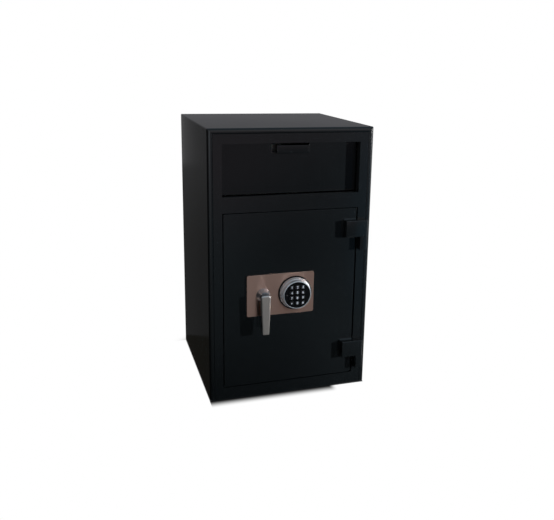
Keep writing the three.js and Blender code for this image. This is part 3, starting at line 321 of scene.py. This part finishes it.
def make_neck_chrome():
    """Chrome turned on a lathe. Six pale rays out from the spindle, a cosine of the angle round it that a fine
    noise breaks up, are painted highlights in the colour and are raised a little. They are painted reflections,
    not real ones."""
    f = Finish("neck_chrome")
    spot = f.place(centre=(-SPINDLE[0], 0, -SPINDLE[1]))
    turn = f.angle(f.axis(spot, "Z"), f.axis(spot, "X"))
    rays = (turn * 6 - 2.2).cosine()
    fine = f.noise(f.place(), 160, 2)
    # Painted highlight: pale marks the six rays, painted near white as if they caught the light.
    pale = rays.between(0.35, 1.0) * fine.between(0.35, 0.6)
    return f.principled(
        Base_Color=f.blend(pale, tone(176, 184, 194), tone(254, 254, 254)),
        Metallic=0.85,
        Roughness=0.2 + (fine - 0.5) * 0.1,
        Normal=f.bump(rays, 0.0001),
    )


def make_zinc_plate():
    """Zinc plated sheet: faint spangle cells and a slightly yellow pale grey."""
    f = Finish("zinc_plate")
    spot = f.place()
    cells = f.node("ShaderNodeTexVoronoi", None, {"Vector": spot, "Scale": 110}, "Distance")
    cloud = f.noise(spot, 22, 4)
    scratch = f.noise(f.place(scale=(1, 12, 1)), 120, 4).between(0.62, 0.8)
    colour = f.blend(cloud, tone(168, 170, 170), tone(196, 196, 190))
    return f.principled(
        Base_Color=f.blend(scratch * 0.4, colour, tone(214)),
        Metallic=1.0,
        Roughness=0.34 + cells * 0.16 + cloud * 0.08,
        Normal=f.bump(cells, 0.00002),
    )


def make_black_plastic():
    """Moulded black plastic with a fine even texture."""
    f = Finish("black_plastic")
    grain = f.noise(f.place(), 1800, 2)
    cloud = f.noise(f.place(), 40, 3)
    return f.principled(
        Base_Color=f.blend(cloud, (0.0022, 0.0024, 0.0030, 1), (0.0040, 0.0042, 0.0050, 1)),
        Roughness=0.2 + grain * 0.1,
        Specular_IOR_Level=0.22,
        Normal=f.bump(grain, 0.000002),
    )


def make_key_rubber():
    """Soft black key tops, dull and cloudy."""
    f = Finish("key_rubber")
    grain = f.noise(f.place(), 2600, 2)
    cloud = f.noise(f.place(), 90, 3)
    return f.principled(
        Base_Color=f.blend(cloud, (0.0030, 0.0032, 0.0038, 1), (0.0065, 0.0067, 0.0075, 1)),
        Roughness=0.3 + grain * 0.1,
        Specular_IOR_Level=0.25,
        Normal=f.bump(grain, 0.000003),
    )


def make_legend_ink():
    """Pale printed figures, a little thin in places."""
    f = Finish("legend_ink")
    thin = f.noise(f.place(), 900, 3).between(0.35, 0.7)
    return f.principled(
        Base_Color=f.blend(thin, tone(176, 186, 200), tone(214, 222, 234)),
        Roughness=0.5 + thin * 0.1,
    )


def make_lens():
    """A smoky lens over a lamp that is off."""
    f = Finish("lens")
    cloud = f.noise(f.place(), 500, 2)
    return f.principled(
        Base_Color=f.blend(cloud, tone(52, 50, 52), tone(84, 80, 82)),
        Roughness=0.12 + cloud * 0.1,
    )


def make_rubber():
    """Dull black rubber of the drawer's buffers."""
    f = Finish("rubber")
    grain = f.noise(f.place(), 700, 4)
    return f.principled(
        Base_Color=f.blend(grain, tone(16), tone(30)),
        Roughness=0.75 + grain * 0.2,
        Normal=f.bump(grain, 0.0001),
    )


def make_metals():
    """The plain metals. The brushed plate is written pinker than it renders here, because it was set against
    bluish cards, and in neutral light it looks pinkish."""
    plate_low = tone(228, 188, 168)
    plate_high = tone(240, 200, 180)
    plain = (1, 1, 1)
    return {
        "steel": metal("steel", tone(148, 150, 153), tone(176, 178, 180), 0.3, (1, 1, 14), 60),
        "chrome": metal("chrome", tone(196, 199, 204), tone(212, 214, 218), 0.1, plain, 200, 0.04),
        "satin_metal": metal(
            "satin_metal", tone(212, 206, 199), tone(224, 218, 210), 0.42, (1, 1, 14), 90, 0.12
        ),
        "brushed_plate": metal(
            "brushed_plate", plate_low, plate_high, 0.37, (1, 14, 14), 120, 0.06, grain=1.0
        ),
        "ring_chrome": metal(
            "ring_chrome", tone(204, 211, 219), tone(222, 228, 234), 0.22, plain, 200, 0.06, metallic=0.7
        ),
        "brass": metal("brass", tone(176, 141, 74), tone(200, 166, 96), 0.3, (1, 1, 10), 80),
    }


FINISHES = {
    "black_paint": make_black_paint(),
    "drawer_paint": make_black_paint("drawer_paint", 0.32),
    "inner_paint": make_inner_paint(),
    "zinc_plate": make_zinc_plate(),
    **make_metals(),
    "lever_metal": make_lever_metal(),
    "neck_chrome": make_neck_chrome(),
    "black_plastic": make_black_plastic(),
    "key_rubber": make_key_rubber(),
    "legend_ink": make_legend_ink(),
    "lens": make_lens(),
    "rubber": make_rubber(),
}
SLOT_OF = {part["node"]: part["material_slot"] for part in frame["record"]["subparts"]}
FINISH_OF = {**SLOT_OF, "drawer_front": "drawer_paint", "lever": "lever_metal"}


# Shapes
def shown(name, mesh, finish, body, replaced=(), smooth=40):
    """A mesh as a piece of the safe: its finish, its body and the CAD nodes that it stands for."""
    piece = bpy.data.objects.new(name, mesh)
    bpy.context.scene.collection.objects.link(piece)
    mesh.materials.clear()
    mesh.materials.append(FINISHES[finish])
    if smooth:
        mesh.shade_smooth()
        mesh.set_sharp_from_angle(angle=math.radians(smooth))
    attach(piece, body)
    if replaced:
        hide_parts(*replaced)
    slot = SLOT_OF.get(replaced[0]) if replaced else finish
    slot in SLOT_OF.values()
    return piece


def corners_of(mesh):
    """The corners of a mesh as an array of points."""
    points = np.empty(len(mesh.vertices) * 3)
    mesh.vertices.foreach_get("co", points)
    return points.reshape(-1, 3)


def put_corners(mesh, points):
    """Moves the corners of a mesh to an array of points."""
    mesh.vertices.foreach_set("co", points.ravel())
    mesh.update()


def dressed(node, width, segments):
    """A copy of a CAD node with its corners merged, its flat faces made whole and its edges rounded."""
    mesh = NODES[node].data.copy()
    work = bmesh.new()
    work.from_mesh(mesh)
    bmesh.ops.remove_doubles(work, verts=work.verts, dist=1e-6)
    bmesh.ops.dissolve_limit(work, angle_limit=math.radians(0.5), verts=work.verts, edges=work.edges)
    work.to_mesh(mesh)
    work.free()
    piece = shown(f"{node}_dressed", mesh, FINISH_OF[node], BODY_OF[node], [node])
    bevel = piece.modifiers.new("edges", "BEVEL")
    bevel.width = width
    bevel.segments = segments
    bevel.limit_method = "ANGLE"
    bevel.angle_limit = math.radians(35)
    bevel.use_clamp_overlap = True
    bevel.harden_normals = False
    return piece


def lofted(name, rings, finish, body, replaced, smooth=40):
    """A skin over closed rings of points, an array of ring, point and coordinate: point j of ring i joins
    point j + 1 and the same two points of ring i + 1, and each end is closed by one face."""
    count, around, _ = rings.shape
    i, j = np.meshgrid(np.arange(count - 1), np.arange(around), indexing="ij")
    k = (j + 1) % around
    skin = np.stack([i * around + j, i * around + k, (i + 1) * around + k, (i + 1) * around + j], -1)
    faces = skin.reshape(-1, 4).tolist()
    faces.append(list(range(around - 1, -1, -1)))
    faces.append(list(range((count - 1) * around, count * around)))
    mesh = bpy.data.meshes.new(name)
    mesh.from_pydata(rings.reshape(-1, 3), [], faces)
    work = bmesh.new()
    work.from_mesh(mesh)
    bmesh.ops.remove_doubles(work, verts=work.verts, dist=1e-7)
    bmesh.ops.recalc_face_normals(work, faces=work.faces)
    work.to_mesh(mesh)
    work.free()
    return shown(name, mesh, finish, body, replaced, smooth)


def bowed(start, pull, end, t):
    """Points on a quadratic curve from a start to an end, drawn towards a third point, for t from 0 to 1."""
    return (1 - t) ** 2 * start + 2 * t * (1 - t) * pull + t**2 * end


def softened(points, radii, steps=5):
    """A line through points whose corners are rounded: each corner gives way to an arc, drawn as a quadratic
    curve between the points where it leaves its two sides. The ends stay."""
    points = np.array(points, float)
    t = np.linspace(0, 1, steps + 1)[:, None]
    run = [points[:1]]
    for here, before, after, radius in zip(points[1:-1], points[:-2], points[2:], radii):
        back = before - here
        ahead = after - here
        start = here + back / np.linalg.norm(back) * radius
        end = here + ahead / np.linalg.norm(ahead) * radius
        run.append(bowed(start, here, end, t))
    run.append(points[-1:])
    return np.concatenate(run)


def turned(name, profile, centre, finish, body, replaced, steps=160):
    """A turned piece about an axis along Y: each ring is a circle of the profile's radius, as far in front of
    the lock plate's face as the profile says."""
    radius, out = np.array(profile).T
    angle = np.linspace(0, 2 * np.pi, steps, endpoint=False)
    x = centre[0] + radius[:, None] * np.cos(angle)
    z = centre[1] + radius[:, None] * np.sin(angle)
    y = np.broadcast_to(PLATE_FACE - out[:, None], x.shape)
    return lofted(name, np.stack([x, y, z], -1), finish, body, replaced)


def wrap_path(inset, steps=8):
    """The wrap's line in X and Z at some inset from its outer face: up the left side, over the top and down the
    right. The top corners keep what is left of the fold's radius."""
    half = HALF - inset
    top = TOP - inset
    radius = max(FOLD - inset, 0.0002)
    turn = np.linspace(0, np.pi / 2, steps)
    left = np.stack([-half + radius - radius * np.cos(turn), top - radius + radius * np.sin(turn)], -1)
    right = left[::-1] * [-1, 1]
    return np.concatenate([[[-half, 0.0]], left, right, [[half, 0.0]]])


def rolled_wrap():
    """The wrap over the sides and top. Its section runs from the back along the outer face, up a quarter of an
    ellipse to the crest of the rolled front edge, down a smaller one into the groove beside the frame, and back
    inside. At each point of the section the wrap's line at that inset is a rail, so that the front corners are
    mitred."""
    arc = np.linspace(0, np.pi / 2, 21)
    rise = np.stack([CREST - CREST * np.cos(arc), FRONT + ROLL_DEPTH - ROLL_DEPTH * np.sin(arc)], -1)
    fall = np.stack([CREST + 0.0008 + GROOVE_WIDTH * np.sin(arc), FRONT + GROOVE - GROOVE * np.cos(arc)], -1)
    inside = [[ROLL, FRONT + GROOVE + 0.0002], [ROLL, FRONT + SHEET], [SHEET, FRONT + SHEET], [SHEET, BACK]]
    section = np.concatenate([[[0, BACK]], rise, fall, inside])
    rails = np.stack([wrap_path(inset) for inset, _ in section])
    depth = np.broadcast_to(section[:, 1][:, None], rails.shape[:2])
    points = np.stack([rails[..., 0], depth, rails[..., 1]], -1)
    rings = points.transpose(1, 0, 2)
    return lofted("rolled_wrap", rings, "black_paint", "body", ["outer_shell"], smooth=30)


def lever_neck_turning():
    """The neck behind the lever: a root with a small rim and a cone that bows in a little, a quadratic curve
    from the rim over a point inside the straight line to the lever."""
    foot = [[0, SEAT], [0.0177, SEAT], [NECK_ROOT, 0.0006], [NECK_ROOT, 0.0012]]
    rim = np.array([0.0178, 0.0017])
    waist = np.array([0.0148, 0.0088])
    front = np.array([0.0122, NECK_LENGTH])
    cone = bowed(rim, waist, front, np.linspace(0, 1, 16)[:, None])
    profile = np.concatenate([foot, cone, [[0, NECK_LENGTH]]])
    return turned("lever_neck_turning", profile, SPINDLE, "neck_chrome", "handle", ["lever_neck"], 128)


def keypad_bezel():
    """The bright ring round the keypad: a cone with a step, rounded at its front edge."""
    outline = [
        [RING_BORE, RING_BACK],
        [0.042, RING_BACK],
        [0.0394, 0.013],
        [0.0383, 0.0131],
        [0.0368, 0.0226],
        [0.0358, RING_FRONT],
        [RING_BORE, RING_FRONT],
        [RING_BORE, RING_BACK],
    ]
    profile = softened(outline, [0.0006, 0.0005, 0.0003, 0.0007, 0.0005, 0.0004])
    return turned("keypad_bezel", profile, KEYPAD, "ring_chrome", "door", ["keypad_ring"])


def keypad_foot():
    """The black foot of the keypad with a rounded rim, and its platform behind the keys."""
    outline = [
        [0, SEAT],
        [FOOT_RADIUS, SEAT],
        [FOOT_RADIUS, FOOT_HEIGHT],
        [PLATFORM_RADIUS, FOOT_HEIGHT],
        [PLATFORM_RADIUS, PLATFORM_HEIGHT],
        [0, PLATFORM_HEIGHT],
    ]
    profile = softened(outline, [0.0003, 0.0012, 0.0002, 0.0003])
    return turned("keypad_foot", profile, KEYPAD, "black_plastic", "door", ["keypad_base"])


def legend(sign, node):
    """A printed figure on a key, made from flat text, laid on the key's face."""
    low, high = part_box(node)
    curve = bpy.data.curves.new(f"legend_{node}", "FONT")
    curve.body = sign
    curve.align_x = "CENTER"
    curve.size = FIGURE_SIZE
    curve.offset = FIGURE_WEIGHT
    curve.extrude = FIGURE_THICKNESS
    text = bpy.data.objects.new(f"legend_{node}", curve)
    bpy.context.scene.collection.objects.link(text)
    bpy.context.view_layer.update()
    mesh = bpy.data.meshes.new_from_object(text)
    bpy.data.objects.remove(text)
    corners = corners_of(mesh)
    middle = (corners.min(0) + corners.max(0)) / 2
    x = (low.x + high.x) / 2 + corners[:, 0] - middle[0]
    z = (low.z + high.z) / 2 + corners[:, 1] - middle[1]
    y = low.y - FIGURE_GAP - (corners[:, 2] - corners[:, 2].min())
    put_corners(mesh, np.stack([x, y, z], -1))
    return shown(f"legend_{node}", mesh, "legend_ink", BODY_OF[node], smooth=0)


def tapered(piece):
    """Narrows the lever towards its foot: its width is scaled by a factor that falls evenly with the height."""
    points = corners_of(piece.data)
    down = (points[:, 2].max() - points[:, 2]) / np.ptp(points[:, 2])
    share = LEVER_TOP_SHARE - LEVER_TAPER_SHARE * down
    points[:, 0] = SPINDLE[0] + (points[:, 0] - SPINDLE[0]) * share
    put_corners(piece.data, points)


rolled_wrap()
lever_neck_turning()
keypad_bezel()
keypad_foot()

# Width and segments of the rounded edges of a node. The rest have PLAIN_EDGE.
PLAIN_EDGE = (0.0003, 1)
SOFT_EDGES = {
    "front_frame": (0.0006, 3),
    "door_plate": (0.0006, 3),
    "drawer_front": (0.0008, 3),
    "drawer_lip": (0.0006, 3),
    "hinge_block_upper": (0.0007, 3),
    "hinge_block_lower": (0.0007, 3),
    "hinge_knuckle_upper": (0.0008, 3),
    "hinge_knuckle_lower": (0.0008, 3),
    "lock_plate": (0.0006, 2),
    "lever": (0.0005, 3),
    "keypad_face": (0.0002, 1),
    "status_led": (0.0003, 2),
    "strike_bar": (0.0005, 1),
    "back_panel": (0.0008, 2),
    "base_plate": (0.0008, 2),
}
DONE = {"outer_shell", "lever_neck", "keypad_ring", "keypad_base"}
for node in NODES:
    if node in DONE:
        continue
    piece = dressed(node, *SOFT_EDGES.get(node, PLAIN_EDGE))
    if node == "lever":
        tapered(piece)

SIGNS = {**{f"key_{n}": str(n) for n in range(10)}, "key_star": "*", "key_hash": "#"}
for node, sign in SIGNS.items():
    legend(sign, node)


# Studio
def studio_world():
    """A dim ambient level, under which a colour renders well below what is written, and white where the camera,
    a reflection or a clear surface looks past the floor."""
    world = bpy.data.worlds.new("studio")
    world.use_nodes = True
    bpy.context.scene.world = world
    f = Finish("studio", world.node_tree)
    colour = f.blend(f.in_sight(), (AMBIENT, AMBIENT, AMBIENT, 1), (1, 1, 1, 1))
    f.node("ShaderNodeOutputWorld", None, [f.node("ShaderNodeBackground", None, [colour, 1.0])])


def flat_sheet(name, corners, finish):
    """One flat face of the studio over four corners."""
    mesh = bpy.data.meshes.new(name)
    mesh.from_pydata(corners, [], [(0, 1, 2, 3)])
    mesh.materials.append(finish.material)
    made = bpy.data.objects.new(name, mesh)
    bpy.context.scene.collection.objects.link(made)
    return made


def past(distance, place, blur=0.0001):
    """0 before a place and 1 past it, with a step as wide as twice the blur."""
    return distance.between(place - blur, place + blur)


def studio_floor():
    """A wide floor that is white in sight. Its shade is a painted shadow, not the safe's own shadow. In front it
    is a ramp, which ends at the left corner and short of the right one, and under the safe it is dark throughout.
    Behind it follows how closed in a spot is. At the left and the right there is none."""
    f = Finish("floor")
    x = f.axis(f.place(), "X")
    y = f.axis(f.place(), "Y")
    away = 0 - y + FRONT
    # Painted shadow: front, under and behind are masks of painted shade on the floor, not a shadow that the lamps
    # cast.
    front = past(x, -HALF, 0.0002) * (1 - x.between(*SHADE_RIGHT_FADE)) * (1 - away.between(-0.001, SHADE_REACH))
    under = past(x, -HALF) * (1 - past(x, HALF)) * (1 - past(y, BACK - 0.001))
    open_sky = f.node("ShaderNodeAmbientOcclusion", {"samples": 24}, {"Distance": 0.05}, "AO")
    behind = past(y, BACK) * (1 - open_sky.between(0.42, 0.99)) * 0.7
    outdoors = past(away, 0)
    shade = outdoors * front + (1 - outdoors) * under + behind
    white = f.glow((1, 1, 1, 1))
    # dark is the colour of the painted shadow.
    dark = f.glow((0.006, 0.006, 0.006, 1))
    sightly = f.node("ShaderNodeMixShader", None, [shade, white, dark])
    lit = f.node("ShaderNodeBsdfDiffuse", None, {"Color": (0.8, 0.8, 0.8, 1)})
    f.surface(f.node("ShaderNodeMixShader", None, [f.in_sight(), lit, sightly]))
    wide = FLOOR_HALF
    floor = flat_sheet("floor", [(-wide, -wide, 0), (wide, -wide, 0), (wide, wide, 0), (-wide, wide, 0)], f)


def studio_card(name, corners, colour):
    """A card that only reflections see. It hides the white floor and world from them and shows its own colour,
    one for all of it or worked out by a function."""
    f = Finish(name)
    f.surface(f.glow(colour(f) if callable(colour) else colour))
    card = flat_sheet(name, corners, f)
    card.visible_camera = False
    card.visible_diffuse = False
    card.visible_transmission = False
    card.visible_volume_scatter = False
    card.visible_shadow = False


def spread(f):
    """How far to the side a spot lies from the middle of the safe, and how far in front of it."""
    return f.axis(f.place(), "X"), FRONT - f.axis(f.place(), "Y")


def bearing(f, aside, ahead):
    """The direction of a spot, in degrees: 0 straight ahead and 90 straight to the side."""
    return f.angle(aside, ahead) * (180 / math.pi)


def left_window(f, x, away):
    """1 towards a bright window that stands in front of the safe and a little to its left."""
    turn = bearing(f, -HALF - x, away)
    return turn.between(-8, 2) * (1 - turn.between(14, 32))


def front_card_colour(f):
    """A dark floor that grows paler and warmer away from the safe, with a blue wall's gleam at its right. Each
    number was set until the front's reflections had the photograph's tones."""
    x, away = spread(f)
    column = (x - 0.314 * away) / (1 + 0.632 * away)
    level = 0.055 * away.between(0.03, 0.6) - 0.033 * away.between(0.75, 1.3) + 0.175 * away.between(1.2, 5.0)
    leftness = (1 - column.between(-0.17, 0.0)) * away.between(0.3, 1.8) * (1 - 0.5 * away.between(2.4, 4.0))
    stile = (1 - column.between(-0.19, -0.16)) * away.between(0.05, 0.4) * (1 - away.between(1.6, 2.6))
    rightness = column.between(0.03, 0.13) * (1 - away.between(0.3, 0.7))
    level = level + leftness * 0.115 + stile * 0.035 + rightness * 0.035
    far_right = column.between(-0.1, 0.12) * away.between(2.5, 3.2) * (1 - 0.5 * away.between(4.3, 5.3))
    level = (level - far_right * 0.11) * (1 - 0.8 * bearing(f, -HALF - x, away).between(26, 42))
    floor = f.times(f.blend(away.between(1.0, 3.0), (0.78, 1.0, 1.12, 1), (1.2, 1.0, 1.12, 1)), level)
    floor = f.blend(column.between(0.15, 0.19) * away.between(0.3, 0.9), floor, (0.05, 0.12, 0.175, 1))
    bright = f.times((0.88, 1.0, 1.08), (away * 0.15).at_most(0.9))
    pale = f.times((0.95, 1.0, 1.04), ((x - HALF) * 0.2).at_most(0.9))
    floor = f.blend(bearing(f, x - HALF, away).between(45, 75), floor, pale)
    return f.blend(left_window(f, x, away), floor, bright)


def front_wall_colour(f):
    """A wall in front that grows paler upwards, with the window at its left."""
    height = f.axis(f.place(), "Z")
    wall = f.blend(height.between(0.4, 1.8), (0.2, 0.17, 0.19, 1), (0.55, 0.54, 0.56, 1))
    return f.blend(left_window(f, *spread(f)), wall, (0.82, 0.92, 1.0, 1))


def side_card_colour(f):
    """Dark near the safe and out to its left, and paler behind beyond a sharp slanting line."""
    x = f.axis(f.place(), "X")
    y = f.axis(f.place(), "Y")
    beyond = (y - x * 0.333).between(0.308, 0.318)
    pale = beyond * (1 - bearing(f, -HALF - x, y - FRONT).between(22, 32))
    far = f.blend(y.between(0.4, 4.0), (0.037, 0.037, 0.037, 1), (0.066, 0.066, 0.067, 1))
    return f.blend(pale, (0.018, 0.017, 0.014, 1), far)


def rear_card_colour(f):
    """Pale above the safe's top; below it dark at the left and paler straight behind."""
    height = f.axis(f.place(), "Z")
    x = f.axis(f.place(), "X")
    low = f.blend(x.between(-0.9, -0.5), (0.068, 0.068, 0.07, 1), (0.42, 0.42, 0.43, 1))
    return f.blend(height.between(0.5, 0.8), low, (0.165, 0.165, 0.175, 1))


def level_corners(left, right, near, far, height):
    """The corners of a level card."""
    return [(left, near, height), (right, near, height), (right, far, height), (left, far, height)]


def upright_corners(start, end):
    """The corners of an upright card over the line between two spots of the floor, as high as the room."""
    return [(*start, ROOM_FOOT), (*end, ROOM_FOOT), (*end, ROOM_TOP), (*start, ROOM_TOP)]


def studio_cards():
    """A floor in three parts beside the safe, three walls and a ceiling."""
    side = HALF + CARD_GAP
    near = FRONT - CARD_GAP
    behind = BACK + CARD_GAP
    front_card = level_corners(ROOM_LEFT, ROOM_RIGHT, ROOM_FRONT, near, CARD_HEIGHT)
    side_card = level_corners(ROOM_LEFT, -side, near, ROOM_BACK, CARD_HEIGHT)
    rear_floor = [(-side, behind), (side, behind), (REAR_FLOOR_RIGHT, ROOM_BACK), (-side, ROOM_BACK)]
    studio_card("front_card", front_card, front_card_colour)
    studio_card("side_card", side_card, side_card_colour)
    studio_card("rear_floor", [(*spot, CARD_HEIGHT) for spot in rear_floor], (0.42, 0.42, 0.43, 1))
    rear_card = upright_corners((ROOM_LEFT, ROOM_BACK), (-ROOM_LEFT, ROOM_BACK))
    front_wall = upright_corners((ROOM_LEFT, ROOM_FRONT), (ROOM_RIGHT, ROOM_FRONT))
    left_wall = upright_corners((ROOM_LEFT, ROOM_FRONT), (ROOM_LEFT, ROOM_BACK))
    studio_card("rear_card", rear_card, rear_card_colour)
    studio_card("front_wall", front_wall, front_wall_colour)
    studio_card("left_wall", left_wall, (0.03, 0.03, 0.03, 1))
    ceiling = level_corners(ROOM_LEFT, ROOM_RIGHT, ROOM_FRONT, ROOM_BACK, ROOM_TOP)
    studio_card("ceiling", ceiling, (0.25, 0.33, 0.40, 1))


def lamp(name, place, aim, width, height, power, colour=(1, 1, 1), cone=180, mirrored=False):
    """An area lamp at a place, turned to an aim. Its light fades towards the edge of its cone, in degrees. A
    lamp that isn't mirrored gives no highlight of its own."""
    light = bpy.data.lights.new(name, "AREA")
    light.shape = "RECTANGLE"
    light.size = width
    light.size_y = height
    light.energy = power
    light.color = colour
    light.spread = math.radians(cone)
    source = bpy.data.objects.new(name, light)
    turn = (Vector(aim) - Vector(place)).to_track_quat("-Z", "Y").to_matrix().to_4x4()
    source.matrix_world = Matrix.Translation(place) @ turn
    bpy.context.scene.collection.objects.link(source)
    source.visible_glossy = mirrored


def camera():
    """The photograph's viewpoint, from the safe's corners: place, directions, focal length and shift."""
    made = bpy.data.cameras.new("viewpoint")
    made.sensor_fit = "HORIZONTAL"
    made.sensor_width = 36
    made.lens = 44.285
    made.shift_x = -0.0496
    made.shift_y = -0.0628
    right = Vector((0.94976254, -0.31225314, 0.02119185))
    down = Vector((-0.05526659, -0.2339782, -0.97066977))
    forward = Vector((0.30805311, 0.92073459, -0.2394809))
    turn = Matrix((right, -down, -forward)).transposed().to_4x4()
    view = bpy.data.objects.new("viewpoint", made)
    view.matrix_world = Matrix.Translation((-0.49684, -1.78828, 0.86639)) @ turn
    bpy.context.scene.collection.objects.link(view)
    bpy.context.scene.camera = view


studio_world()
studio_floor()
studio_cards()
lamp("key", (3.23, -2.4, 0.87), (0.8, 0.56, 0.22), 0.12, 0.12, 33, cone=45, mirrored=True)
lamp("side_strip", (-2.6, -1.5, 0.6), (0, 0, 0.35), 0.25, 1.8, 3, (0.86, 0.94, 1.0))
lamp("overhead", (0.2, -0.6, 2.6), (0, 0, 0.35), 1.2, 0.8, 8)
camera()
bpy.context.scene.view_settings.view_transform = "Standard"
